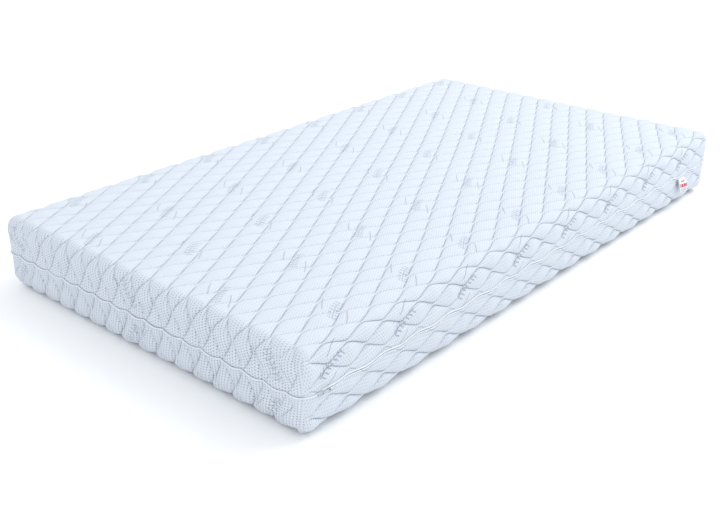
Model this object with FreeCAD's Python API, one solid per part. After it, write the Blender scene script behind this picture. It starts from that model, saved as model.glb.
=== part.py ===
import FreeCAD, Part
import os

# Zip-cover foam mattress, in millimetres.
# X is the width, Y the length, Z up. The origin is the centre of the bottom face.
# The zip runs along the +X side, and the label hangs from it near the +Y end.

# Overall size
width = 800.0
length = 1400.0
height = 150.0
edge_radius = 27.0

# Quilted cover: stretch knit, wadding and backing, the same above and below the seam
knit_thickness = 1.5
wadding_thickness = 8.0
backing_thickness = 1.0

# Core: three glued foam slabs in a thin sleeve. The base slab takes the height that is left.
sleeve_thickness = 1.0
memory_foam_thickness = 35.0
transition_foam_thickness = 25.0
groove_width = 4.0
groove_depth = 20.0
groove_spacing = 70.0
groove_end_margin = 140.0

# Gap between neighbouring layers, and between a cut edge and what it meets
layer_clearance = 0.25
seam_clearance = 0.1

# Piping sewn into the closed seam: a round cord on a flat flange. The flange stops short of
# the backing's inner face by its setback.
piping_diameter = 3.2
flange_thickness = 0.8
flange_setback = 0.4

# Concealed zip on the +X side
zip_length = 1320.0
zip_depth = 6.5
lip_gap = 1.6
lip_thickness = 1.8
lip_proud = 0.3
lip_edge_radius = 0.7
tape_thickness = 0.8
tape_width = 14.0
tooth_pitch = 6.0
tooth_width = 3.0
tooth_reach = 2.0
tooth_thickness = 2.4
spine_width = 0.8
row_gap = 1.2
stop_length = 4.0

# Slider and pull tab
running_clearance = 0.3
slider_length = 16.0
slider_nose_flare = 1.0
slider_flange_width = 1.2
plate_thickness = 1.0
web_length = 5.0
neck_length = 6.0
neck_to_nose = 5.0
lug_radius = 2.1
pivot_pin_radius = 0.7
pivot_hole_clearance = 0.05
pivot_above_lips = 2.3
cheek_radius = 1.6
cheek_thickness = 1.0
pull_width = 5.2
pull_length = 24.0
pull_thickness = 1.4
pull_hole_length = 9.0
pull_hole_width = 2.4

# Thread bars that close both ends of the zip
tack_length = 2.0
tack_thickness = 0.5

# Folded label that hangs from the seam
label_width = 28.0
label_drop = 36.0
label_layer = 0.5
label_fold_gap = 0.4
label_from_end = 152.0
label_below_lip = 1.2
label_clearance = 0.5

# Levels and places that follow from the sizes above
seam_z = height / 2
side_x = width / 2
wadding_inset = knit_thickness + layer_clearance
backing_inset = wadding_inset + wadding_thickness + layer_clearance
sleeve_inset = backing_inset + backing_thickness + layer_clearance
core_inset = sleeve_inset + sleeve_thickness + layer_clearance
flange_inset = backing_inset + backing_thickness - flange_setback
lip_half_height = lip_gap / 2 + lip_thickness
zip_x = side_x - zip_depth
zip_end = zip_length / 2
teeth_end = zip_end - stop_length
row_outer = row_gap / 2 + tooth_reach + spine_width
slider_half_depth = tooth_thickness / 2 + running_clearance + plate_thickness
slider_tail_half = row_outer + running_clearance + slider_flange_width
slider_nose_half = slider_tail_half + slider_nose_flare
slider_nose_y = -teeth_end + running_clearance
lip_outer_x = side_x + lip_proud
pivot_x = lip_outer_x + pivot_above_lips
pivot_y = slider_nose_y + neck_to_nose + neck_length / 2


def block(x0, x1, y0, y1, z0, z1):
    return Part.makeBox(x1 - x0, y1 - y0, z1 - z0, FreeCAD.Vector(x0, y0, z0))


def rounded_block(inset):
    """The mattress outline, drawn in by the inset on every side."""
    x = side_x - inset
    y = length / 2 - inset
    solid = block(-x, x, -y, y, inset, height - inset)
    return solid.makeFillet(edge_radius - inset, solid.Edges)


def above(z):
    return block(-width, width, -length, length, z, 2 * height)


def below(z):
    return block(-width, width, -length, length, -height, z)


def mirrored(shape):
    """The same piece on the other side of the seam plane."""
    return shape.mirror(FreeCAD.Vector(0, 0, seam_z), FreeCAD.Vector(0, 0, 1))


def write(node, shape):
    solids = shape.Solids
    whole = solids[0] if len(solids) == 1 else Part.makeCompound(solids)
    whole.exportStep(os.path.join("parts", node + ".step"))


# ---- Quilted cover ----

def zip_slot(half_height):
    """Room for the zip through the side of a cover layer."""
    x0 = zip_x - slider_half_depth - running_clearance
    return block(x0, side_x + 1, -zip_end, zip_end, seam_z - half_height, seam_z + half_height)


def tape_slot():
    half_depth = tape_thickness / 2 + seam_clearance
    half_height = row_outer + tape_width + seam_clearance
    return block(zip_x - half_depth, zip_x + half_depth, -zip_end, zip_end,
                 seam_z - half_height, seam_z + half_height)


def upper_layer(inset, thickness, seam_gap):
    shell = rounded_block(inset).cut(rounded_block(inset + thickness))
    return shell.common(above(seam_z + seam_gap))


def knit():
    layer = upper_layer(0, knit_thickness, piping_diameter / 2 + seam_clearance)
    return layer.cut(zip_slot(lip_half_height + seam_clearance))


def slider_slot():
    return zip_slot(slider_nose_half + running_clearance)


def wadding():
    layer = upper_layer(wadding_inset, wadding_thickness, piping_diameter / 2 + seam_clearance)
    return layer.cut(slider_slot()).cut(tape_slot())


def backing():
    """The slot only reaches this layer when the zip is set deeper or the wadding is thinner."""
    layer = upper_layer(backing_inset, backing_thickness, flange_thickness / 2 + seam_clearance)
    return layer.cut(slider_slot())


# ---- Closed seam ----

def seam_outline(inset):
    """Rounded rectangle at seam height, drawn in by the inset."""
    x = side_x - inset
    y = length / 2 - inset
    column = block(-x, x, -y, y, 0, height)
    upright = [edge for edge in column.Edges if abs(edge.tangentAt(edge.FirstParameter).z) > 0.5]
    return column.makeFillet(edge_radius - inset, upright)


def piping():
    radius = piping_diameter / 2
    path = seam_outline(radius).slice(FreeCAD.Vector(0, 0, 1), seam_z)[0]
    start = FreeCAD.Vector(side_x - radius, 0, seam_z)
    section = Part.Wire(Part.makeCircle(radius, start, FreeCAD.Vector(0, 1, 0)))
    ordered = Part.Wire(Part.__sortEdges__(split_at_zip(path, start)))
    cord = ordered.makePipeShell([section], True, False)
    flange = seam_outline(radius).cut(seam_outline(flange_inset))
    half = flange_thickness / 2
    flange = flange.common(above(seam_z - half)).common(below(seam_z + half))
    open_side = block(0, width, -zip_end, zip_end, 0, height)
    return cord.fuse(flange).cut(open_side).removeSplitter()


def split_at_zip(path, start):
    """The seam's edges as an open run that starts and ends in the middle of the zip side."""
    edges = []
    for edge in path.Edges:
        if edge.distToShape(Part.Vertex(start))[0] < 1e-6:
            first, last = (v.Point for v in edge.Vertexes)
            edges.append(Part.LineSegment(start, first).toShape())
            edges.append(Part.LineSegment(start, last).toShape())
        else:
            edges.append(edge)
    return edges


# ---- Concealed zip ----

def upper_lip():
    z0 = seam_z + lip_gap / 2
    inner_x = zip_x + slider_half_depth + running_clearance
    lip = block(inner_x, lip_outer_x, -zip_end, zip_end, z0, z0 + lip_thickness)
    outer_edges = [e for e in lip.Edges if abs(e.CenterOfMass.x - lip_outer_x) < 1e-6]
    outer = [e for e in outer_edges if e.Length > zip_length / 2]
    return lip.makeFillet(lip_edge_radius, outer)


def upper_tape():
    z0 = seam_z + row_outer
    half = tape_thickness / 2
    return block(zip_x - half, zip_x + half, -zip_end, zip_end, z0, z0 + tape_width)


def teeth_row(offset, side):
    """A comb of teeth on a spine: side is +1 above the seam plane and -1 below it."""
    tip = seam_z + side * row_gap / 2
    root = tip + side * tooth_reach
    back = seam_z + side * row_outer
    points = [(-teeth_end, back), (-teeth_end, root)]
    y = -teeth_end + offset
    while y + tooth_width < teeth_end:
        points += [(y, root), (y, tip), (y + tooth_width, tip), (y + tooth_width, root)]
        y += tooth_pitch
    points += [(teeth_end, root), (teeth_end, back), (-teeth_end, back)]
    x = zip_x - tooth_thickness / 2
    outline = Part.makePolygon([FreeCAD.Vector(x, py, pz) for py, pz in points])
    return Part.Face(outline).extrude(FreeCAD.Vector(tooth_thickness, 0, 0))


def top_stop():
    """Block at the closed end of one row, which the slider comes up against."""
    half = tooth_thickness / 2
    z0 = seam_z + row_gap / 2
    return block(zip_x - half, zip_x + half, -zip_end, -teeth_end, z0, seam_z + row_outer)


def bottom_stop():
    """Block across both rows at the open end."""
    half = tooth_thickness / 2
    return block(zip_x - half, zip_x + half, teeth_end, zip_end, seam_z - row_outer, seam_z + row_outer)


def end_tack(y_outer, direction):
    y0, y1 = sorted((y_outer, y_outer - direction * tack_length))
    return block(lip_outer_x, lip_outer_x + tack_thickness, y0, y1,
                 seam_z - lip_half_height, seam_z + lip_half_height)


# ---- Slider and pull ----

def slider_plate(x0, x1):
    """Plate that tapers from the nose to the tail."""
    nose = slider_nose_y
    tail = nose + slider_length
    outline = [
        (nose, -slider_nose_half),
        (tail, -slider_tail_half),
        (tail, slider_tail_half),
        (nose, slider_nose_half),
        (nose, -slider_nose_half),
    ]
    wire = Part.makePolygon([FreeCAD.Vector(x0, y, seam_z + z) for y, z in outline])
    return Part.Face(wire).extrude(FreeCAD.Vector(x1 - x0, 0, 0))


def slider():
    inner_x = zip_x - slider_half_depth
    outer_x = zip_x + slider_half_depth
    solid = slider_plate(inner_x, outer_x)
    hollow_half = slider_half_depth - plate_thickness
    core_half = row_outer + running_clearance
    tail = slider_nose_y + slider_length
    hollow = block(zip_x - hollow_half, zip_x + hollow_half, slider_nose_y, tail,
                   seam_z - core_half, seam_z + core_half)
    half = tape_thickness / 2 + running_clearance
    slot = block(zip_x - half, zip_x + half, slider_nose_y, tail, seam_z - width, seam_z + width)
    solid = solid.cut(hollow).cut(slot)
    web_half = row_gap / 2 - running_clearance
    web = block(zip_x - hollow_half, zip_x + hollow_half, slider_nose_y, slider_nose_y + web_length,
                seam_z - web_half, seam_z + web_half)
    neck_half = lip_gap / 2 - running_clearance
    neck = block(outer_x, pivot_x, pivot_y - neck_length / 2, pivot_y + neck_length / 2,
                 seam_z - neck_half, seam_z + neck_half)
    reach = block(lip_outer_x, pivot_x + lug_radius, pivot_y - width, pivot_y + width, 0, height)
    lug_base = FreeCAD.Vector(pivot_x, pivot_y, seam_z - neck_half)
    lug = Part.makeCylinder(lug_radius, 2 * neck_half, lug_base)
    neck = neck.cut(reach).fuse(lug)
    neck = neck.fuse(block(lip_outer_x - plate_thickness, pivot_x, pivot_y - lug_radius, pivot_y + lug_radius,
                           seam_z - neck_half, seam_z + neck_half))
    eye = Part.makeCylinder(pivot_pin_radius + pivot_hole_clearance, 2 * neck_half, lug_base)
    return solid.fuse([web, neck]).cut(eye).removeSplitter()


def pull_tab():
    """Fork, cross pin and grip. The pull lies along the lips and points past the nose."""
    inner_z = lip_gap / 2
    half_x = pull_thickness / 2
    grip_y = pivot_y - lug_radius - running_clearance
    pin = Part.makeCylinder(pivot_pin_radius, 2 * inner_z, FreeCAD.Vector(pivot_x, pivot_y, seam_z - inner_z))
    pieces = []
    for z0 in (seam_z + inner_z, seam_z - inner_z - cheek_thickness):
        centre = FreeCAD.Vector(pivot_x, pivot_y, z0)
        pieces.append(Part.makeCylinder(cheek_radius, cheek_thickness, centre))
        pieces.append(block(pivot_x - half_x, pivot_x + half_x, grip_y, pivot_y, z0, z0 + cheek_thickness))
    end_y = pivot_y - pull_length
    grip = block(pivot_x - half_x, pivot_x + half_x, end_y, grip_y,
                 seam_z - pull_width / 2, seam_z + pull_width / 2)
    end_edges = [e for e in grip.Edges if abs(e.CenterOfMass.y - end_y) < 1e-6]
    corners = [e for e in end_edges if abs(e.Length - pull_thickness) < 1e-6]
    grip = grip.makeFillet(pull_width / 3, corners)
    hole_y = end_y + pull_width / 2
    hole = block(pivot_x - pull_width, pivot_x + pull_width, hole_y, hole_y + pull_hole_length,
                 seam_z - pull_hole_width / 2, seam_z + pull_hole_width / 2)
    return pin.fuse(pieces + [grip]).cut(hole).removeSplitter()


# ---- Label ----

def side_label():
    """Strip folded in half, with its fold at the bottom and both ends at the seam."""
    thickness = 2 * label_layer + label_fold_gap
    x0 = side_x + label_clearance
    y1 = length / 2 - label_from_end + label_width / 2
    y0 = y1 - label_width
    top = seam_z - lip_half_height - label_below_lip
    centre_x = x0 + thickness / 2
    fold_z = top - label_drop + thickness / 2
    outer = block(x0, x0 + thickness, y0, y1, fold_z, top)
    fold_base = FreeCAD.Vector(centre_x, y0, fold_z)
    outer = outer.fuse(Part.makeCylinder(thickness / 2, label_width, fold_base, FreeCAD.Vector(0, 1, 0)))
    half_gap = label_fold_gap / 2
    gap = block(centre_x - half_gap, centre_x + half_gap, y0, y1, fold_z, top - label_layer)
    gap = gap.fuse(Part.makeCylinder(half_gap, label_width, fold_base, FreeCAD.Vector(0, 1, 0)))
    return outer.cut(gap).removeSplitter()


# ---- Core ----

def sleeve():
    return rounded_block(sleeve_inset).cut(rounded_block(sleeve_inset + sleeve_thickness))


def foam_slab(z0, z1):
    return rounded_block(core_inset).common(above(z0)).common(below(z1))


def base_foam(top):
    """Base slab with cross grooves cut up from its underside."""
    slab = foam_slab(core_inset, top)
    run = length / 2 - groove_end_margin
    steps = int(run // groove_spacing)
    grooves = []
    for step in range(-steps, steps + 1):
        y = step * groove_spacing
        grooves.append(block(-width, width, y - groove_width / 2, y + groove_width / 2,
                             0, core_inset + groove_depth))
    return slab.cut(grooves)


os.makedirs("parts", exist_ok=True)

write("top_cover_knit", knit())
write("top_cover_wadding", wadding())
write("top_cover_backing", backing())
write("bottom_cover_knit", mirrored(knit()))
write("bottom_cover_wadding", mirrored(wadding()))
write("bottom_cover_backing", mirrored(backing()))

write("seam_piping", piping())

write("zip_upper_lip", upper_lip())
write("zip_lower_lip", mirrored(upper_lip()))
write("zip_upper_tape", upper_tape())
write("zip_lower_tape", mirrored(upper_tape()))
write("zip_upper_teeth", teeth_row(0.0, 1))
write("zip_lower_teeth", teeth_row(tooth_pitch / 2, -1))
write("zip_top_stops", Part.makeCompound([top_stop(), mirrored(top_stop())]))
write("zip_bottom_stop", bottom_stop())
write("zip_end_tacks", Part.makeCompound([end_tack(-zip_end, -1), end_tack(zip_end, 1)]))
write("zip_slider", slider())
write("zip_pull_tab", pull_tab())

write("side_label", side_label())

core_top = height - core_inset
memory_bottom = core_top - memory_foam_thickness
transition_bottom = memory_bottom - transition_foam_thickness
write("core_sleeve", sleeve())
write("memory_foam_layer", foam_slab(memory_bottom, core_top))
write("transition_foam_layer", foam_slab(transition_bottom, memory_bottom))
write("base_foam_layer", base_foam(transition_bottom))
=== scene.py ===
import math

import bpy
import numpy as np
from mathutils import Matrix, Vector


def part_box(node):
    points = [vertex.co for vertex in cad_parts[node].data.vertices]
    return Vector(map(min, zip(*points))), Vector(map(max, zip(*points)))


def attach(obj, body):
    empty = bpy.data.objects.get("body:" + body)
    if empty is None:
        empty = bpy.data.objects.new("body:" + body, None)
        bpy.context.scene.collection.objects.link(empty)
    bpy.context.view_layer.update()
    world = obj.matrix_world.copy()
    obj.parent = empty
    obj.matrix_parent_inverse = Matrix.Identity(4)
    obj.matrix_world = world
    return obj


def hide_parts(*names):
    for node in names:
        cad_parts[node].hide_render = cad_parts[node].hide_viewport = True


# The looks of a quilted mattress, in metres, around its CAD frame.
# X is the width, Y the length and Z up. The zip and label are on the +X side.

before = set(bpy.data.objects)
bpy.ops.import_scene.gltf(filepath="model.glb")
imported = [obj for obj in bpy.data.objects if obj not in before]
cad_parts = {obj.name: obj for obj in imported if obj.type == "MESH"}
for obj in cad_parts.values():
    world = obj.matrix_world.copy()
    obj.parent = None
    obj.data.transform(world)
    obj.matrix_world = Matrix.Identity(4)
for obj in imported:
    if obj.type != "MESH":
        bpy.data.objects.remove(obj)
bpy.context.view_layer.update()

# ---- Sizes read from the frame ----

COVER_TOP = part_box("top_cover_knit")[1]
HALF_X = COVER_TOP[0]
HALF_Y = COVER_TOP[1]
HEIGHT = COVER_TOP[2]
SEAM_Z = HEIGHT / 2
LIP_LOW, LIP_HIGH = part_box("zip_upper_lip")
ZIP_END = LIP_HIGH[1]

# ---- The shape of the cover ----

EDGE_RADIUS = 0.027
FLAT_X = HALF_X - EDGE_RADIUS
FLAT_Y = HALF_Y - EDGE_RADIUS
ARC = EDGE_RADIUS * math.pi / 2
CLOTH_GAP = 0.0005
DROP = ARC + HEIGHT / 2 - EDGE_RADIUS - CLOTH_GAP

# ---- Quilting: zigzag stitch lines along Y, with each neighbour mirrored ----

LINE_PITCH = 0.02375
LINE_START = 0.233125
ZIGZAG_PERIOD = 0.0845
ZIGZAG_START = -0.640
TIP_GAP = 0.0055
TIP_SHARPNESS = 0.93
SWING = (LINE_PITCH - TIP_GAP) / 2
TOP_QUILT_DEPTH = 0.0064
SIDE_QUILT_DEPTH = 0.0074
ZIP_QUILT_DEPTH = 0.0046
SLACK_LINE_HEIGHT = 0.42
PUFF_SHAPE = 0.52
CHANNEL_SHAPE = 0.85
CROWN_SPREAD = 0.16
LINE_DRIFT = 0.0012
UNEVEN_DEPTH = 0.0006
FINE_UNEVEN_DEPTH = 0.0003

# The zip's tape lies close behind the cloth, so the quilting is shallower there
ZIP_BACKED_FROM = 0.020
ZIP_BACKED_TO = 0.032

# Cloth taken up on the way down the sides, so that rows meet across the seam
TOP_SIDE_SHIFT = 0.006
BOTTOM_SIDE_SHIFT = -0.0153
END_STRETCH = 1.037

# Where the row of sprigs along each long side falls on the cloth. The lower row is past the seam.
TOP_SIDE_SPRIGS = 0.433
BOTTOM_SIDE_SPRIGS = 0.520
SIDE_SPRIGS_FROM = 0.388
SIDE_SPRIGS_START = -0.637
TOP_SPRIGS_START_U = -0.009
TOP_SPRIGS_START_V = -0.560
TOP_SPRIGS_STRENGTH = 0.75
SPRIG_PITCH = 0.171

# ---- Seam ----

SEAM_RECESS = 0.0019
ZIP_RECESS = 0.0028
CORNER_RECESS = 0.0010
CORNER_REACH = 0.010
SEAM_WAVE = 0.0025
SIDE_WAVE_PEAK = -0.603
END_WAVE_PEAK = 0.220
SEAM_REACH = 0.010
WAVE_REACH = 0.022
WAVE_FADE_FROM = 0.045
WAVE_FADE_TO = 0.015
ZIP_PINCH_FROM = 0.004
ZIP_PINCH_TO = 0.015
ZIP_EDGE_LIFT = 0.0008
ZIP_EDGE_LIFT_REACH = 0.004
ZIP_TURN_IN = 0.0004
SEAM_TURN_IN = 0.0032
RIM_OFFSET = 0.0003
PIPING_RADIUS = 0.0014
PIPING_INSET = 0.0010
CORD_PAST_ZIP_END = 0.004
LIP_PUCKER = 0.00025
LIP_PUCKER_PITCH = 0.0104

# ---- Label: how far each of its edges bows away from the side ----

LABEL_NEAR_BOW = 0.0085
LABEL_FAR_BOW = 0.0125

# ---- Mesh density ----

STEPS_BETWEEN_LINES = 6
GATHER_STEP = 0.0010
STEPS_PER_ZIGZAG = 20
END_ROW_STEP = 0.0035
CORD_STEP = 0.0025
CORD_SIDES = 8
LIP_STEP = 0.0035


def smoothstep(low, high, value):
    t = np.clip((value - low) / (high - low), 0.0, 1.0)
    return t * t * (3 - 2 * t)


def zigzag(v):
    """Rounded zigzag between -1 and 1 along the cloth."""
    phase = 2 * math.pi * (v - ZIGZAG_START) / ZIGZAG_PERIOD
    return np.arcsin(TIP_SHARPNESS * np.cos(phase)) / math.asin(TIP_SHARPNESS)


def side_of_line(c):
    """+1 on even stitch lines, -1 on odd ones, straight between them."""
    return 2 * np.abs(np.mod(c, 2) - 1) - 1


def line_position(c, v, strength=1.0):
    return LINE_START + c * LINE_PITCH + SWING * zigzag(v) * side_of_line(c) * strength


def puff(u, v, height_table):
    """Quilting height (0 on a stitch line, 1 on a crown), distance to the line, its lean and its
    looseness (1 where the nearest line leans the slack way)."""
    guess = np.floor((u - LINE_START) / LINE_PITCH)
    line = guess.copy()
    for step in (-1, 0, 1):
        candidate = guess + step
        inside = (line_position(candidate, v) <= u) & (u < line_position(candidate + 1, v))
        line = np.where(inside, candidate, line)
    left = line_position(line, v)
    gap = line_position(line + 1, v) - left
    across = np.clip((u - left) / gap, 0.0, 1.0)
    widest = LINE_PITCH + 2 * SWING
    dome = (4 * across * (1 - across)) ** PUFF_SHAPE
    width = (gap / widest) ** CHANNEL_SHAPE
    parity = np.where(np.mod(line, 2) == 0, 0.5, 0.0)
    row = np.floor((v - ZIGZAG_START) / ZIGZAG_PERIOD + parity)
    size = height_table.shape[0]
    lift = height_table[np.mod(line, size).astype(int), np.mod(row, size).astype(int)]
    near = np.minimum(across, 1 - across) * gap
    turning = np.clip(-1.5 * np.sin(2 * math.pi * (v - ZIGZAG_START) / ZIGZAG_PERIOD), -1.0, 1.0)
    lean_left = turning * side_of_line(line)
    lean = np.where(across < 0.5, lean_left, -lean_left)
    to_right = smoothstep(0.15, 0.85, across)
    loose = np.maximum(lean_left, 0.0) * (1 - to_right) + np.maximum(-lean_left, 0.0) * to_right
    return dome * width * lift, near, lean, loose


def profile(d):
    """Outward reach and drop of the edge, a distance d of cloth past the flat face, and its tilt."""
    tilt = np.clip(d / EDGE_RADIUS, 0.0, math.pi / 2)
    reach = EDGE_RADIUS * np.sin(tilt)
    drop = EDGE_RADIUS * (1 - np.cos(tilt)) + np.maximum(d - ARC, 0.0)
    return reach, drop, tilt


def seam_wave(along_x, along_y, on_side):
    """The seam's rise and fall: gentle along the sides, with sharp peaks along the ends."""
    ends = 1 - smoothstep(ZIP_END - WAVE_FADE_FROM, ZIP_END - WAVE_FADE_TO, np.abs(along_y))
    side = SEAM_WAVE * np.cos(2 * math.pi * (along_y - SIDE_WAVE_PEAK) / ZIGZAG_PERIOD) * ends
    phase = math.pi * (along_x - END_WAVE_PEAK) / (2 * LINE_PITCH)
    inner = 1 - smoothstep(FLAT_X - 0.015, FLAT_X + 0.005, np.abs(along_x))
    end = SEAM_WAVE * (1 - 2 * np.abs(np.sin(phase))) * inner
    return np.where(on_side, side, end)


def cover_grid(side_shift):
    """Unfolded coordinates of the cover's mesh: columns follow the stitch lines, rows cross them."""
    u_seam = FLAT_X + DROP + side_shift
    first = math.floor((-u_seam - LINE_START) / LINE_PITCH) - 1
    last = math.ceil((u_seam - LINE_START) / LINE_PITCH) + 1
    steps = np.arange(first * STEPS_BETWEEN_LINES, last * STEPS_BETWEEN_LINES + 1)
    whole = np.floor(steps / STEPS_BETWEEN_LINES)
    part = steps / STEPS_BETWEEN_LINES - whole
    columns = whole + (1 - np.cos(math.pi * part)) / 2
    flat_rows = int(round(2 * FLAT_Y / ZIGZAG_PERIOD * STEPS_PER_ZIGZAG))
    end_rows = int(round(DROP / END_ROW_STEP))
    flat = np.linspace(-FLAT_Y, FLAT_Y, flat_rows + 1)
    end = np.linspace(0.0, DROP, end_rows + 1)[1:]
    v = np.concatenate([-FLAT_Y - end[::-1], flat, FLAT_Y + end])
    c, v = np.meshgrid(columns, v, indexing="ij")
    held = np.clip(v, -FLAT_Y, FLAT_Y)
    on_end = held + (v - held) * END_STRETCH
    middle = np.abs(LINE_START + c * LINE_PITCH)
    free = 1 - smoothstep(FLAT_X - 0.075, FLAT_X - 0.015, middle)
    u = line_position(c, held) * (1 - free) + line_position(c, on_end) * free

    # Lines that run past the seam are gathered against it
    u = np.minimum(u, u_seam - (last - c) * GATHER_STEP)
    u = np.maximum(u, (c - first) * GATHER_STEP - u_seam)
    return u, v


def taken_up(d, side_shift):
    """Cloth taken up by a distance d past the flat face, all of it before the side begins."""
    return side_shift * smoothstep(0.0, ARC * 0.8, d)


def unshifted(u, side_shift):
    """The real distance across for a pattern position, past the flat face."""
    d = np.linspace(0.0, DROP, 400)
    pattern = FLAT_X + d + taken_up(d, side_shift)
    d_of_u = np.interp(np.abs(u), pattern, d)
    return np.where(np.abs(u) > FLAT_X, np.sign(u) * (FLAT_X + d_of_u), u)


def build_cover(name, side_shift, upward, seed):
    """One quilted half of the cover, as a single cloth from the flat face down to the seam."""
    rng = np.random.RandomState(seed)
    heights = 1 - CROWN_SPREAD * rng.rand(64, 64)
    u, v = cover_grid(side_shift)
    x_cloth = unshifted(u, side_shift)
    a = np.maximum(np.abs(x_cloth) - FLAT_X, 0.0)
    b = np.maximum(np.abs(v) - FLAT_Y, 0.0)
    d = np.maximum(a, b)
    safe = np.maximum(d, 1e-9)
    turn = np.where(a >= b, b / safe, 2 - a / safe) * math.pi / 4
    turn = np.where((a <= 0) & (b > 0), math.pi / 2, turn)
    turn = np.where(b <= 0, 0.0, turn)
    reach, drop, tilt = profile(d)
    sign_x = np.where(u < 0, -1.0, 1.0)
    sign_y = np.where(v < 0, -1.0, 1.0)
    x = np.where(a > 0, sign_x * (FLAT_X + reach * np.cos(turn)), x_cloth)
    y = np.where(b > 0, sign_y * (FLAT_Y + reach * np.sin(turn)), v)
    z = HEIGHT - drop
    normal_x = sign_x * np.sin(tilt) * np.cos(turn)
    normal_y = sign_y * np.sin(tilt) * np.sin(turn)
    normal = np.stack([normal_x, normal_y, np.cos(tilt)], -1)

    # Where each point lies on the cloth's own pattern
    corner = (a > 0) & (b > 0)
    round_side = reach * turn
    round_end = reach * (math.pi / 2 - turn)
    shifted = sign_x * (FLAT_X + d + taken_up(d, side_shift))
    side_u = np.where(corner, shifted, u)
    end_u = np.where(corner, sign_x * (FLAT_X + round_end), u)
    end_v = np.where(b > 0, sign_y * (FLAT_Y + d * END_STRETCH), v)
    side_v = np.where(corner, sign_y * (FLAT_Y + round_side), end_v)
    past_mitre = corner & (b > a)
    pattern_u = np.where(past_mitre, end_u, side_u)
    pattern_v = np.where(past_mitre, end_v, side_v)

    lift, near, lean, loose = puff(pattern_u, pattern_v, heights)
    over_edge = smoothstep(0.2, 1.1, tilt)
    slack = SLACK_LINE_HEIGHT * loose * (1 - over_edge)
    lift = slack + (1 - slack) * lift
    to_seam = DROP - d
    on_zip = (b <= 0) & (u > 0) & (np.abs(v) < ZIP_END)
    zip_backed = 1 - smoothstep(ZIP_BACKED_FROM, ZIP_BACKED_TO, to_seam)
    zip_backed = zip_backed * np.where(on_zip, 1.0, 0.0)
    depth = TOP_QUILT_DEPTH + (SIDE_QUILT_DEPTH - TOP_QUILT_DEPTH) * smoothstep(0.0, 0.6, tilt)
    depth = depth + (ZIP_QUILT_DEPTH - depth) * zip_backed
    inward = depth * (1 - lift)

    # The corner is pulled smooth
    off_corner = np.abs(turn - math.pi / 4) * reach
    smooth = np.exp(-(off_corner / CORNER_REACH) ** 2) * smoothstep(0.0, CORNER_REACH, d)
    plain = np.where(corner, smooth, 0.0)
    inward = inward * (1 - plain) + CORNER_RECESS * plain

    # The seam draws the cloth in
    zip_pinch = 1 - smoothstep(ZIP_PINCH_FROM, ZIP_PINCH_TO, to_seam)
    pinch = np.where(on_zip, zip_pinch, np.exp(-(to_seam / SEAM_REACH) ** 2))
    recess = np.where(on_zip, ZIP_RECESS, SEAM_RECESS)
    inward = inward * (1 - pinch) + recess * pinch

    # Soft unevenness of hand-laid cloth
    uneven = np.sin(7.1 * x + 3.3 * y + seed) * np.sin(5.3 * y - 2.1 * x + 0.7 * seed)
    fine = np.sin(23.0 * x + 17.0 * y + seed) * np.sin(19.0 * y - 11.0 * x)
    inward = inward + UNEVEN_DEPTH * (1 + uneven) * np.cos(tilt) + FINE_UNEVEN_DEPTH * (1 + fine)

    x = x - normal[..., 0] * inward
    y = y - normal[..., 1] * inward
    z = z - normal[..., 2] * inward

    # Along the zip the cut edge stops inside the lip, clear of the slider's neck
    near_cut = 1 - smoothstep(0.0, ZIP_EDGE_LIFT_REACH, to_seam)
    z = z + np.where(on_zip, ZIP_EDGE_LIFT * near_cut, 0.0)

    # The stitch lines drift a little on the flat face, and the seam waves up and down
    wander = smoothstep(0.0, 0.05, np.minimum(FLAT_X - np.abs(x), FLAT_Y - np.abs(y)))
    x = x + wander * LINE_DRIFT * np.sin(9.0 * y + 2.0 * seed) * np.cos(6.0 * x)
    y = y + wander * LINE_DRIFT * np.sin(11.0 * x - seed) * np.cos(4.0 * y)
    wave = seam_wave(x, y, a >= b) * np.exp(-(to_seam / WAVE_REACH) ** 2)
    if not upward:
        z = HEIGHT - z
    z = z + wave * np.where(corner, 0.0, 1.0)

    columns, rows = x.shape
    points = np.stack([x, y, z], -1).reshape(-1, 3)
    index = np.arange(columns * rows).reshape(columns, rows)
    corners = [index[:-1, :-1], index[1:, :-1], index[1:, 1:], index[:-1, 1:]]
    quads = np.stack(corners, -1).reshape(-1, 4)

    # The cut edge is turned in behind the seam
    rim = np.concatenate([index[:-1, 0], index[-1, :-1], index[:0:-1, -1], index[0, :0:-1]])
    rim_normal = normal.reshape(-1, 3)[rim]
    turn_in = np.where(on_zip.reshape(-1)[rim], ZIP_TURN_IN, SEAM_TURN_IN)
    turned = points[rim] - rim_normal * turn_in[:, None]
    turned[:, 2] += (RIM_OFFSET if upward else -RIM_OFFSET)
    base = len(points)
    ring = np.arange(len(rim)) + base
    after = np.roll(ring, -1)
    rim_quads = np.stack([rim, ring, after, np.roll(rim, -1)], -1)
    points = np.concatenate([points, turned])
    quads = np.concatenate([quads, rim_quads])
    if not upward:
        quads = quads[:, ::-1]

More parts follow.
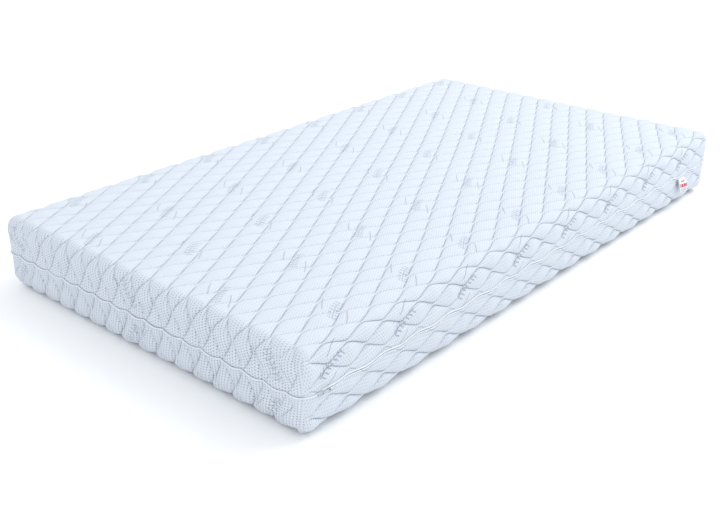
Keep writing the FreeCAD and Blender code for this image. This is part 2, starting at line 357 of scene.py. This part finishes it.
    # How dark each stitch line is painted, as its thread plus painted shade in its crease: the
    # painted shade is stronger on lines that lean the shaded way and weaker towards the ends; and how
    # far the knit is stretched open
    towards_end = np.sin(turn) ** 2
    top_stitch_and_shade = 0.36 + 0.54 * np.clip(-lean, 0.0, 1.0)
    side_stitch_and_shade = 0.80 + 0.20 * lean * (1 if upward else -1) - 0.38 * towards_end
    stitch_and_shade = top_stitch_and_shade + (side_stitch_and_shade - top_stitch_and_shade) * over_edge
    stitch_and_shade = stitch_and_shade * (1 - plain)
    opened = 0.22 + over_edge * (0.14 + 0.54 * towards_end)
    opened = opened + 0.45 * towards_end * smoothstep(0.0, 0.3, tilt) * (1 - over_edge)
    mitre = np.where(b > 0, (turn - math.pi / 4) * 100, -1.0)
    obj = mesh_object(name, points, quads)
    for cloth_name, cloth_u, cloth_v in (("cloth", side_u, side_v), ("end_cloth", end_u, end_v)):
        cloth = np.stack([cloth_u, cloth_v, np.zeros_like(u)], -1).reshape(-1, 3)
        add_attribute(obj, cloth_name, np.concatenate([cloth, cloth[rim]]))
    shading = {"near_stitch": near, "stitch_and_shade": stitch_and_shade, "opened": opened, "mitre": mitre}
    for value_name, values in shading.items():
        values = values.reshape(-1)
        add_attribute(obj, value_name, np.concatenate([values, values[rim]]))
    return obj


def mesh_object(name, points, faces, smooth=True):
    mesh = bpy.data.meshes.new(name)
    corners = [tuple(p) for p in np.asarray(points)]
    mesh.from_pydata(corners, [], [tuple(int(i) for i in f) for f in faces])
    mesh.update()
    mesh.polygons.foreach_set("use_smooth", [smooth] * len(mesh.polygons))
    obj = bpy.data.objects.new(name, mesh)
    bpy.context.scene.collection.objects.link(obj)
    return obj


def add_attribute(obj, name, values):
    values = np.asarray(values, dtype=np.float32)
    kind = "FLOAT_VECTOR" if values.ndim == 2 else "FLOAT"
    layer = obj.data.attributes.new(name, kind, "POINT")
    layer.data.foreach_set("vector" if values.ndim == 2 else "value", values.reshape(-1))


# ---- Seam trim ----

def tube(name, path, normals, radius):
    """Round tube along a path, with the given outward direction at each point."""
    along = np.gradient(path, axis=0)
    along /= np.linalg.norm(along, axis=1, keepdims=True)
    out = normals - along * np.sum(normals * along, axis=1, keepdims=True)
    out /= np.linalg.norm(out, axis=1, keepdims=True)
    up = np.cross(along, out)
    angles = np.arange(CORD_SIDES) / CORD_SIDES * 2 * math.pi
    outward = out[:, None] * np.cos(angles)[None, :, None]
    upward = up[:, None] * np.sin(angles)[None, :, None]
    points = (path[:, None] + radius * (outward + upward)).reshape(-1, 3)
    count = len(path)
    faces = []
    for i in range(count - 1):
        ring = i * CORD_SIDES
        after = ring + CORD_SIDES
        for k in range(CORD_SIDES):
            n = (k + 1) % CORD_SIDES
            faces.append((ring + k, ring + n, after + n, after + k))
    last = (count - 1) * CORD_SIDES
    faces.append(tuple(range(CORD_SIDES - 1, -1, -1)))
    faces.append(tuple(last + k for k in range(CORD_SIDES)))
    return mesh_object(name, points, faces)


def seam_path():
    """Points and outward directions round the seam, from one end of the zip to the other."""
    points = []
    normals = []

    def straight(start, end, normal):
        length = math.dist(start, end)
        for i in range(int(length / CORD_STEP)):
            t = i * CORD_STEP / length
            points.append((start[0] + (end[0] - start[0]) * t, start[1] + (end[1] - start[1]) * t))
            normals.append(normal)

    def bend(cx, cy, start):
        for i in range(int(ARC / CORD_STEP)):
            angle = start - i * CORD_STEP / EDGE_RADIUS
            points.append((cx + EDGE_RADIUS * math.cos(angle), cy + EDGE_RADIUS * math.sin(angle)))
            normals.append((math.cos(angle), math.sin(angle)))

    straight((HALF_X, -ZIP_END + CORD_PAST_ZIP_END), (HALF_X, -FLAT_Y), (1, 0))
    bend(FLAT_X, -FLAT_Y, 0.0)
    straight((FLAT_X, -HALF_Y), (-FLAT_X, -HALF_Y), (0, -1))
    bend(-FLAT_X, -FLAT_Y, -math.pi / 2)
    straight((-HALF_X, -FLAT_Y), (-HALF_X, FLAT_Y), (-1, 0))
    bend(-FLAT_X, FLAT_Y, -math.pi)
    straight((-FLAT_X, HALF_Y), (FLAT_X, HALF_Y), (0, 1))
    bend(FLAT_X, FLAT_Y, -math.pi * 1.5)
    straight((HALF_X, FLAT_Y), (HALF_X, ZIP_END - CORD_PAST_ZIP_END), (1, 0))
    points = np.array(points)
    normals = np.array([(n[0], n[1], 0.0) for n in normals])
    on_side = np.abs(normals[:, 0]) > 0.7
    z = SEAM_Z + seam_wave(points[:, 0], points[:, 1], on_side)
    return np.column_stack([points, z]), normals


def build_piping():
    path, normals = seam_path()
    path = path - normals * PIPING_INSET
    return tube("seam_piping_cord", path, normals, PIPING_RADIUS)


def lip(name, side):
    """One folded edge of the concealed zip, a ribbon with a rounded outer fold."""
    y = np.arange(-ZIP_END, ZIP_END + 0.001, LIP_STEP)
    wave = seam_wave(np.full_like(y, HALF_X), y, np.full(y.shape, True))
    inner = LIP_LOW[0]
    outer = LIP_HIGH[0]
    near = LIP_LOW[2] - SEAM_Z
    far = LIP_HIGH[2] - SEAM_Z
    middle = (near + far) / 2
    half = (far - near) / 2
    section = [(inner, near)]
    for i in range(7):
        angle = -math.pi / 2 + math.pi * i / 6
        section.append((outer - half + half * math.cos(angle), middle + half * math.sin(angle)))
    section.append((inner, far))
    points = []
    for yi, wi in zip(y, wave):
        pucker = LIP_PUCKER * math.sin(yi * 2 * math.pi / LIP_PUCKER_PITCH + side)
        for px, pz in section:
            depth = (px - inner) / (outer - inner)
            points.append((px + pucker * depth, yi, SEAM_Z + wi + side * (pz + 0.4 * pucker)))
    count = len(section)
    faces = []
    for i in range(len(y) - 1):
        for k in range(count):
            n = (k + 1) % count
            quad = (i * count + k, i * count + n, (i + 1) * count + n, (i + 1) * count + k)
            faces.append(quad if side > 0 else quad[::-1])
    faces.append(tuple(range(count - 1, -1, -1)) if side > 0 else tuple(range(count)))
    last = (len(y) - 1) * count
    cap = tuple(last + k for k in range(count))
    faces.append(cap if side > 0 else cap[::-1])
    return mesh_object(name, points, faces)


# ---- Label ----

def build_label():
    """Folded woven loop that hangs from the seam and bows away from the side."""
    low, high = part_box("side_label")
    width = high[1] - low[1]
    drop = high[2] - low[2]
    tuck = 0.0003
    top = high[2] + tuck
    across = np.linspace(0.0, 1.0, 19)
    down = np.linspace(0.0, 1.0, 23)
    ply = 0.00035
    fold = 0.0013
    curl = 0.0015
    warp = 0.0006
    outer = []
    for t in down:
        outer.append((fold * smoothstep(0.0, 0.35, t) + ply, t * drop))
    bend_steps = 6
    for i in range(1, bend_steps):
        angle = math.pi * i / bend_steps
        out = fold / 2 + ply + (fold / 2) * math.cos(angle)
        outer.append((out, drop + (fold / 2) * math.sin(angle)))
    for t in down[::-1]:
        outer.append((ply, t * drop))
    outer = np.array(outer)
    points = []
    for s in across:
        for px, pz in outer:
            t = min(max(pz / drop, 0.0), 1.0)
            near_edge = LABEL_NEAR_BOW * t ** 1.2
            far_edge = LABEL_FAR_BOW * math.sin(min(t / 0.6, 1.0) * math.pi / 2)
            far_edge = far_edge - curl * smoothstep(0.6, 1.0, t)
            lean = near_edge * (1 - s) + far_edge * s + warp * t * math.sin(5.0 * s + 0.6)
            points.append((low[0] + px + lean, low[1] + s * width, top - pz * (1 - 0.06 * t)))
    rows = len(outer)
    faces = []
    for i in range(len(across) - 1):
        for k in range(rows - 1):
            faces.append((i * rows + k, (i + 1) * rows + k, (i + 1) * rows + k + 1, i * rows + k + 1))
    obj = mesh_object("side_label_loop", points, faces)
    cloth = []
    for s in across:
        for i in range(rows):
            step = i if i < len(down) else rows - 1 - i
            front = 1.0 if i < len(down) else 0.0
            cloth.append((s * width, min(step / (len(down) - 1), 1.0) * drop, front))
    add_attribute(obj, "cloth", np.array(cloth))
    solid = obj.modifiers.new("ply", "SOLIDIFY")
    solid.thickness = ply
    solid.offset = 0.0
    return obj, (width, 2 * drop)


# ---- Materials ----

class Nodes:
    """Short names for the shader nodes of one material."""

    def __init__(self, name):
        self.material = bpy.data.materials.new(name)
        self.material.use_nodes = True
        self.tree = self.material.node_tree
        self.shader = self.tree.nodes["Principled BSDF"]

    def node(self, kind, **settings):
        node = self.tree.nodes.new(kind)
        for key, value in settings.items():
            setattr(node, key, value)
        return node

    def link(self, source, target):
        self.tree.links.new(source, target)

    def put(self, socket, value):
        if hasattr(value, "is_output"):
            self.link(value, socket)
        else:
            socket.default_value = value

    def math(self, operation, a, b=None, c=None):
        node = self.node("ShaderNodeMath", operation=operation)
        self.put(node.inputs[0], a)
        if b is not None:
            self.put(node.inputs[1], b)
        if c is not None:
            self.put(node.inputs[2], c)
        return node.outputs[0]

    def ramp(self, value, low, high, start=0.0, end=1.0):
        node = self.node("ShaderNodeMapRange", interpolation_type="SMOOTHSTEP")
        self.put(node.inputs["Value"], value)
        node.inputs["From Min"].default_value = low
        node.inputs["From Max"].default_value = high
        node.inputs["To Min"].default_value = start
        node.inputs["To Max"].default_value = end
        return node.outputs["Result"]

    def mix(self, factor, a, b):
        node = self.node("ShaderNodeMix", data_type="RGBA")
        self.put(node.inputs["Factor"], factor)
        self.put(node.inputs[6], a if hasattr(a, "is_output") else (*a, 1.0))
        self.put(node.inputs[7], b if hasattr(b, "is_output") else (*b, 1.0))
        return node.outputs[2]

    def attribute(self, name):
        return self.node("ShaderNodeAttribute", attribute_name=name)

    def coordinates(self):
        return self.node("ShaderNodeTexCoord").outputs["Object"]

    def split(self, vector):
        node = self.node("ShaderNodeSeparateXYZ")
        self.link(vector, node.inputs[0])
        return node.outputs

    def noise(self, vector, scale, detail=3.0):
        node = self.node("ShaderNodeTexNoise")
        self.link(vector, node.inputs["Vector"])
        node.inputs["Scale"].default_value = scale
        node.inputs["Detail"].default_value = detail
        return node.outputs["Fac"]

    def bump(self, height, strength, distance):
        node = self.node("ShaderNodeBump")
        self.link(height, node.inputs["Height"])
        node.inputs["Strength"].default_value = strength
        node.inputs["Distance"].default_value = distance
        self.link(node.outputs["Normal"], self.shader.inputs["Normal"])

    def set(self, **values):
        for key, value in values.items():
            self.shader.inputs[key.replace("_", " ")].default_value = value


def sprig(n, u, v, start_u, start_v, repeat_u):
    """Small slanted sprigs woven into the knit, with a half drop: 1 on a stem or leaf."""
    repeat_v = 2 * ZIGZAG_PERIOD

    # The whole turns added here keep the counts above zero, and the half centres each sprig
    from_start = n.math("ADD", n.math("DIVIDE", n.math("SUBTRACT", u, start_u), repeat_u), 20.5)
    column = n.math("FLOOR", from_start)
    local_u = n.math("MULTIPLY", n.math("SUBTRACT", n.math("FRACT", from_start), 0.5), repeat_u)
    half_drop = n.math("MULTIPLY", n.math("MODULO", column, 2.0), 0.5)
    turns = n.math("ADD", n.math("DIVIDE", n.math("SUBTRACT", v, start_v), repeat_v), 20.5)
    local_v = n.math("SUBTRACT", n.math("FRACT", n.math("ADD", turns, half_drop)), 0.5)
    local_v = n.math("MULTIPLY", local_v, repeat_v)

    # A gently curved stem with slanted leaves on both sides
    slant = math.radians(30)
    along = n.math("MULTIPLY", local_v, math.cos(slant))
    along = n.math("SUBTRACT", along, n.math("MULTIPLY", local_u, math.sin(slant)))
    across = n.math("MULTIPLY", local_v, math.sin(slant))
    across = n.math("ADD", across, n.math("MULTIPLY", local_u, math.cos(slant)))
    across = n.math("SUBTRACT", across, n.math("MULTIPLY", n.math("MULTIPLY", along, along), 4.0))
    to_stem = n.math("ABSOLUTE", across)
    stem = n.ramp(to_stem, 0.0004, 0.0011, 1.0, 0.0)
    leaf_pitch = 0.0082
    leaf_half_length = 0.0046
    leaf_half_width = 0.0013
    beside = n.math("FRACT", n.math("DIVIDE", n.math("ADD", along, 20.25 * leaf_pitch), leaf_pitch))
    beside = n.math("MULTIPLY", n.math("SUBTRACT", beside, 0.5), leaf_pitch)
    out = n.math("SUBTRACT", to_stem, 0.0050)
    tilt = math.radians(62)
    p = n.math("MULTIPLY", beside, math.cos(tilt))
    p = n.math("ADD", p, n.math("MULTIPLY", out, math.sin(tilt)))
    q = n.math("MULTIPLY", out, math.cos(tilt))
    q = n.math("SUBTRACT", q, n.math("MULTIPLY", beside, math.sin(tilt)))
    p = n.math("DIVIDE", p, leaf_half_length)
    q = n.math("DIVIDE", q, leaf_half_width)
    r = n.math("ADD", n.math("MULTIPLY", p, p), n.math("MULTIPLY", q, q))
    leaf = n.ramp(r, 0.6, 1.25, 1.0, 0.0)
    stroke = n.math("MAXIMUM", stem, leaf)
    stroke = n.math("MULTIPLY", stroke, n.ramp(n.math("ABSOLUTE", along), 0.0270, 0.0285, 1.0, 0.0))

    # A slim bar on each side of the sprig
    bar_distance = 0.0200
    lean = math.radians(41)
    forward = n.math("MULTIPLY", local_v, math.cos(lean))
    forward = n.math("SUBTRACT", forward, n.math("MULTIPLY", local_u, math.sin(lean)))
    aside = n.math("MULTIPLY", local_v, math.sin(lean))
    aside = n.math("ADD", aside, n.math("MULTIPLY", local_u, math.cos(lean)))
    side = n.math("SIGN", aside)
    forward = n.math("ADD", n.math("MULTIPLY", forward, side), 0.022)
    bow = n.math("MULTIPLY", n.math("MULTIPLY", forward, forward), 2.5)
    off_bar = n.math("SUBTRACT", n.math("ADD", n.math("ABSOLUTE", aside), bow), bar_distance)
    off_bar = n.math("ABSOLUTE", off_bar)
    bar = n.ramp(off_bar, 0.0004, 0.0014, 1.0, 0.0)
    bar = n.math("MULTIPLY", bar, n.ramp(n.math("ABSOLUTE", forward), 0.0170, 0.0205, 1.0, 0.0))
    return n.math("MAXIMUM", stroke, bar)


def knit_material(name, side_row):
    """Pale blue-white knit with slanting rows of small holes, sprigs, and stitch lines painted dark
    as thread plus painted crease shade.
    """
    n = Nodes(name)
    cloth = n.node("ShaderNodeMix", data_type="VECTOR")
    n.link(n.math("GREATER_THAN", n.attribute("mitre").outputs["Fac"], 0.0), cloth.inputs["Factor"])
    n.link(n.attribute("cloth").outputs["Vector"], cloth.inputs[4])
    n.link(n.attribute("end_cloth").outputs["Vector"], cloth.inputs[5])
    cloth = cloth.outputs[1]
    u, v = n.split(cloth)[:2]
    near = n.attribute("near_stitch").outputs["Fac"]
    stitch_and_shade = n.attribute("stitch_and_shade").outputs["Fac"]
    opened = n.attribute("opened").outputs["Fac"]

    # Cycles per metre of cloth: columns of holes, rows of holes, and the finer ribs on top
    column_u, column_v = 160.0, 20.0
    row_u, row_v = -115.0, 192.0
    rib_u, rib_v = 200.0, 130.0
    columns = n.math("ADD", n.math("MULTIPLY", u, column_u), n.math("MULTIPLY", v, column_v))
    rows = n.math("ADD", n.math("MULTIPLY", u, row_u), n.math("MULTIPLY", v, row_v))
    p = n.math("SUBTRACT", n.math("FRACT", columns), 0.5)
    q = n.math("SUBTRACT", n.math("FRACT", rows), 0.5)
    cells = column_u * row_v - column_v * row_u
    off_u = n.math("MULTIPLY", p, row_v / cells)
    off_u = n.math("SUBTRACT", off_u, n.math("MULTIPLY", q, column_v / cells))
    off_v = n.math("MULTIPLY", q, column_u / cells)
    off_v = n.math("SUBTRACT", off_v, n.math("MULTIPLY", p, row_u / cells))
    r = n.math("ADD", n.math("MULTIPLY", off_u, off_u), n.math("MULTIPLY", off_v, off_v))
    hole = n.ramp(n.math("SQRT", r), 0.0007, 0.0015, 1.0, 0.0)
    side_rib = n.math("SINE", n.math("MULTIPLY", rows, 2 * math.pi))
    top_rib = n.math("ADD", n.math("MULTIPLY", u, rib_u), n.math("MULTIPLY", v, rib_v))
    top_rib = n.math("SINE", n.math("MULTIPLY", top_rib, 2 * math.pi))
    rib = n.node("ShaderNodeMix", data_type="FLOAT")
    n.put(rib.inputs["Factor"], n.ramp(opened, 0.24, 0.36))
    n.put(rib.inputs[2], top_rib)
    n.put(rib.inputs[3], side_rib)
    rib = n.math("MULTIPLY_ADD", rib.outputs[0], 0.5, 0.5)
    patchy = n.ramp(n.noise(cloth, 14.0), 0.35, 0.65, 0.72, 1.0)
    hole = n.math("MULTIPLY", hole, n.math("MULTIPLY", opened, patchy))
    stitch_length = 0.0050
    needle = n.math("SINE", n.math("MULTIPLY", v, 2 * math.pi / stitch_length))
    needle = n.math("MULTIPLY_ADD", needle, 0.32, 0.68)
    # Painted shade along each stitch line's crease, with its thread, dotted at the needle holes
    stitch_and_crease_shade = n.math("MULTIPLY", n.ramp(near, 0.0002, 0.0018, 1.0, 0.0), needle)
    stitch_and_crease_shade = n.math("MULTIPLY", stitch_and_crease_shade, stitch_and_shade)
    on_top = sprig(n, u, v, TOP_SPRIGS_START_U, TOP_SPRIGS_START_V, SPRIG_PITCH)
    on_side = sprig(n, n.math("ABSOLUTE", u), v, side_row, SIDE_SPRIGS_START, 2 * SPRIG_PITCH)
    past_edge = n.math("GREATER_THAN", n.math("ABSOLUTE", u), SIDE_SPRIGS_FROM)
    stroke = n.node("ShaderNodeMix", data_type="FLOAT")
    n.put(stroke.inputs["Factor"], past_edge)
    n.put(stroke.inputs[2], n.math("MULTIPLY", on_top, TOP_SPRIGS_STRENGTH))
    n.put(stroke.inputs[3], on_side)
    stroke = stroke.outputs[0]
    groove_color, rib_color = (0.590, 0.640, 0.710), (0.662, 0.708, 0.766)
    hole_color = (0.110, 0.148, 0.220)
    # The stitch lines take this dark blue: thread colour plus painted crease shade
    stitch_and_shade_color = (0.155, 0.208, 0.305)
    sprig_color = (0.190, 0.248, 0.348)
    base = n.mix(rib, groove_color, rib_color)
    base = n.mix(n.math("MULTIPLY", hole, 0.82), base, hole_color)
    base = n.mix(n.math("MULTIPLY", stitch_and_crease_shade, 0.82), base, stitch_and_shade_color)
    base = n.mix(n.math("MULTIPLY", stroke, 0.58), base, sprig_color)
    n.link(base, n.shader.inputs["Base Color"])
    height = n.math("SUBTRACT", n.math("MULTIPLY", rib, 0.25), hole)
    height = n.math("ADD", height, n.math("MULTIPLY", stroke, 0.9))
    n.bump(height, 0.6, 0.0007)
    n.set(Roughness=0.85, Sheen_Weight=0.10, Specular_IOR_Level=0.25)
    return n.material


def cloth_material(name, low, high, thread=0.0007):
    """Woven or knitted cloth: two tones with a fine diagonal thread."""
    n = Nodes(name)
    position = n.coordinates()
    x, y, z = n.split(position)
    total = n.math("ADD", n.math("ADD", x, y), n.math("MULTIPLY", z, 1.4))
    twist = n.math("SINE", n.math("MULTIPLY", total, 2 * math.pi / thread))
    twist = n.math("MULTIPLY_ADD", twist, 0.5, 0.5)
    blotch = n.noise(position, 60.0)
    tone = n.math("MULTIPLY", n.math("ADD", twist, blotch), 0.5)
    n.link(n.mix(tone, low, high), n.shader.inputs["Base Color"])
    n.bump(twist, 0.4, 0.0003)
    n.set(Roughness=0.8, Sheen_Weight=0.1, Specular_IOR_Level=0.3)
    return n.material


def foam_material(name, low, high, pore_scale):
    """Open-cell foam: small pores and a slight mottling."""
    n = Nodes(name)
    position = n.coordinates()
    cells = n.node("ShaderNodeTexVoronoi")
    n.link(position, cells.inputs["Vector"])
    cells.inputs["Scale"].default_value = pore_scale
    pores = n.ramp(cells.outputs["Distance"], 0.1, 0.6)
    blotch = n.noise(position, 12.0)
    tone = n.math("MULTIPLY", n.math("ADD", pores, blotch), 0.5)
    n.link(n.mix(tone, low, high), n.shader.inputs["Base Color"])
    n.bump(pores, 0.6, 0.0008)
    n.set(Roughness=0.95, Specular_IOR_Level=0.2)
    return n.material


def plastic_material(name, low, high):
    n = Nodes(name)
    blotch = n.noise(n.coordinates(), 400.0)
    n.link(n.mix(blotch, low, high), n.shader.inputs["Base Color"])
    n.link(n.ramp(blotch, 0.3, 0.7, 0.38, 0.52), n.shader.inputs["Roughness"])
    n.bump(blotch, 0.15, 0.0001)
    return n.material


def metal_material(name, low, high):
    """Cast zip metal with worn, lighter high spots."""
    n = Nodes(name)
    blotch = n.noise(n.coordinates(), 700.0)
    n.link(n.mix(blotch, low, high), n.shader.inputs["Base Color"])
    n.link(n.ramp(blotch, 0.3, 0.7, 0.28, 0.46), n.shader.inputs["Roughness"])
    n.bump(blotch, 0.2, 0.0001)
    n.set(Metallic=1.0)
    return n.material


def label_material():
    """White woven tape with a plain red block and short grey dashes."""
    n = Nodes("label_weave")
    u, v, face = n.split(n.attribute("cloth").outputs["Vector"])
    weft_pitch, warp_pitch = 0.0006, 0.0005
    block_pitch, dash_pitch, line_pitch = 0.0078, 0.0052, 0.0036
    print_left, print_right = 0.003, 0.0255
    weft = n.math("SINE", n.math("MULTIPLY", v, 2 * math.pi / weft_pitch))
    warp = n.math("SINE", n.math("MULTIPLY", u, 2 * math.pi / warp_pitch))
    weave = n.math("MULTIPLY_ADD", n.math("MULTIPLY", weft, warp), 0.5, 0.5)

    def band(value, low, high):
        inside = n.math("GREATER_THAN", value, low)
        return n.math("MULTIPLY", inside, n.math("LESS_THAN", value, high))

    printed = band(u, print_left, print_right)
    block_phase = n.math("FRACT", n.math("DIVIDE", n.math("ADD", u, 0.0005), block_pitch))
    blocks = n.math("MULTIPLY", n.math("LESS_THAN", block_phase, 0.80), printed)
    red = n.math("MULTIPLY", band(v, 0.0135, 0.0215), blocks)
    red = n.math("MAXIMUM", red, n.math("MULTIPLY", band(v, 0.0070, 0.0090), band(u, 0.008, 0.021)))
    dash_phase = n.math("FRACT", n.math("DIVIDE", u, dash_pitch))
    dash = n.math("MULTIPLY", n.math("LESS_THAN", dash_phase, 0.66), printed)
    lines = n.math("LESS_THAN", n.math("FRACT", n.math("DIVIDE", v, line_pitch)), 0.45)
    grey = n.math("MULTIPLY", n.math("MULTIPLY", dash, lines), band(v, 0.0250, 0.0345))
    base = n.mix(weave, (0.69, 0.71, 0.74), (0.77, 0.78, 0.80))
    base = n.mix(n.math("MULTIPLY", red, face), base, (0.50, 0.030, 0.060))
    base = n.mix(n.math("MULTIPLY", grey, face), base, (0.13, 0.15, 0.19))
    n.link(base, n.shader.inputs["Base Color"])
    n.bump(weave, 0.3, 0.0002)
    n.set(Roughness=0.7, Sheen_Weight=0.1)
    return n.material


def dress(obj, material):
    obj.data.materials.clear()
    obj.data.materials.append(material)


# ---- Put it together ----

top_cover = build_cover("top_cover_quilted", TOP_SIDE_SHIFT, True, 3)
bottom_cover = build_cover("bottom_cover_quilted", BOTTOM_SIDE_SHIFT, False, 8)
top_knit = knit_material("top_knit", TOP_SIDE_SPRIGS)
bottom_knit = knit_material("bottom_knit", BOTTOM_SIDE_SPRIGS)
HALVES = (
    (top_cover, "top_cover", top_knit),
    (bottom_cover, "bottom_cover", bottom_knit),
)
for cover, half, knit in HALVES:
    dress(cover, knit)
    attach(cover, "mattress")
    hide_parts(half + "_knit", half + "_wadding")

white_cord = cloth_material("white_cord", (0.72, 0.76, 0.82), (0.79, 0.82, 0.86))
lip_weave = cloth_material("lip_weave", (0.76, 0.80, 0.85), (0.82, 0.85, 0.885))
piping = build_piping()
dress(piping, white_cord)
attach(piping, "mattress")
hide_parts("seam_piping")

for word, side in (("upper", 1), ("lower", -1)):
    edge = lip("zip_%s_lip_fold" % word, side)
    dress(edge, lip_weave)
    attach(edge, "mattress")
    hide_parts("zip_%s_lip" % word)

label, label_flat = build_label()
dress(label, label_material())
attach(label, "label_body")
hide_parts("side_label")

fleece = cloth_material("fleece_backing", (0.80, 0.80, 0.79), (0.90, 0.90, 0.89), thread=0.0011)
sleeve_knit = cloth_material("sleeve_knit", (0.84, 0.84, 0.82), (0.93, 0.93, 0.92), thread=0.0009)
tape_weave = cloth_material("zip_tape_weave", (0.66, 0.69, 0.73), (0.75, 0.77, 0.80), thread=0.0008)
thread = cloth_material("tack_thread", (0.69, 0.72, 0.76), (0.77, 0.79, 0.82), thread=0.0005)
tooth_plastic = plastic_material("zip_plastic", (0.68, 0.70, 0.73), (0.76, 0.78, 0.80))
# The slider's metal is painted dark grey: painted shade for the shadowed gaps round the zip's end
slider_metal_painted_shade = metal_material("slider_metal_painted_shade", (0.16, 0.18, 0.22), (0.26, 0.28, 0.33))
pull_metal = metal_material("pull_metal", (0.42, 0.45, 0.50), (0.66, 0.69, 0.74))
memory_foam = foam_material("memory_foam", (0.86, 0.83, 0.72), (0.94, 0.92, 0.84), 260.0)
transition_foam = foam_material("transition_foam", (0.66, 0.78, 0.86), (0.78, 0.87, 0.93), 330.0)
base_foam = foam_material("base_foam", (0.86, 0.86, 0.82), (0.94, 0.94, 0.91), 300.0)

FINISHES = {
    "top_cover_backing": fleece,
    "bottom_cover_backing": fleece,
    "core_sleeve": sleeve_knit,
    "zip_upper_tape": tape_weave,
    "zip_lower_tape": tape_weave,
    "zip_upper_teeth": tooth_plastic,
    "zip_lower_teeth": tooth_plastic,
    "zip_top_stops": tooth_plastic,
    "zip_bottom_stop": tooth_plastic,
    "zip_end_tacks": thread,
    "zip_slider": slider_metal_painted_shade,
    "zip_pull_tab": pull_metal,
    "memory_foam_layer": memory_foam,
    "transition_foam_layer": transition_foam,
    "base_foam_layer": base_foam,
}
for node, material in FINISHES.items():
    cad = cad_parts[node]
    for material_slot in cad.material_slots:
        material_slot.material = material

# ---- Floor, light and camera ----

SKY_COLOR = (0.96, 0.98, 1.0, 1.0)
SKY_STRENGTH = 1.12
KEY_PLACE = (1.3, 2.4, 3.2)
KEY_TARGET = (0.0, 0.0, 0.07)
KEY_SIZE = 2.6
KEY_ENERGY = 58.0
CAMERA_PLACE = (1.2306, -1.5265, 0.8518)
CAMERA_TARGET = (0.0313, -0.1559, 0.0)
CAMERA_LENS = 48.47


def build_floor():
    n = Nodes("studio_floor")
    blotch = n.noise(n.coordinates(), 3.0)
    floor_color = n.mix(blotch, (0.955, 0.955, 0.96), (0.97, 0.97, 0.97))
    n.link(floor_color, n.shader.inputs["Base Color"])
    n.set(Roughness=0.9, Specular_IOR_Level=0.1)
    size = 14.0
    corners = [(-size, -size, 0), (size, -size, 0), (size, size, 0), (-size, size, 0)]
    floor = mesh_object("studio_floor", corners, [(0, 1, 2, 3)], smooth=False)
    dress(floor, n.material)


def area_light(name, place, target, size, energy):
    data = bpy.data.lights.new(name, "AREA")
    data.shape = "DISK"
    data.size = size
    data.energy = energy
    light = bpy.data.objects.new(name, data)
    bpy.context.scene.collection.objects.link(light)
    aim(light, place, target)


def aim(obj, place, target):
    obj.location = place
    obj.rotation_euler = (Vector(target) - Vector(place)).to_track_quat("-Z", "Y").to_euler()


build_floor()
world = bpy.data.worlds.new("studio")
world.use_nodes = True
background = world.node_tree.nodes["Background"]
background.inputs["Color"].default_value = SKY_COLOR
background.inputs["Strength"].default_value = SKY_STRENGTH
bpy.context.scene.world = world
area_light("key", KEY_PLACE, KEY_TARGET, KEY_SIZE, KEY_ENERGY)
bpy.context.scene.view_settings.view_transform = "Standard"

camera_data = bpy.data.cameras.new("camera")
camera_data.lens = CAMERA_LENS
camera_data.sensor_width = 36.0
camera = bpy.data.objects.new("camera", camera_data)
bpy.context.scene.collection.objects.link(camera)
aim(camera, CAMERA_PLACE, CAMERA_TARGET)
bpy.context.scene.camera = camera

bpy.context.view_layer.update()
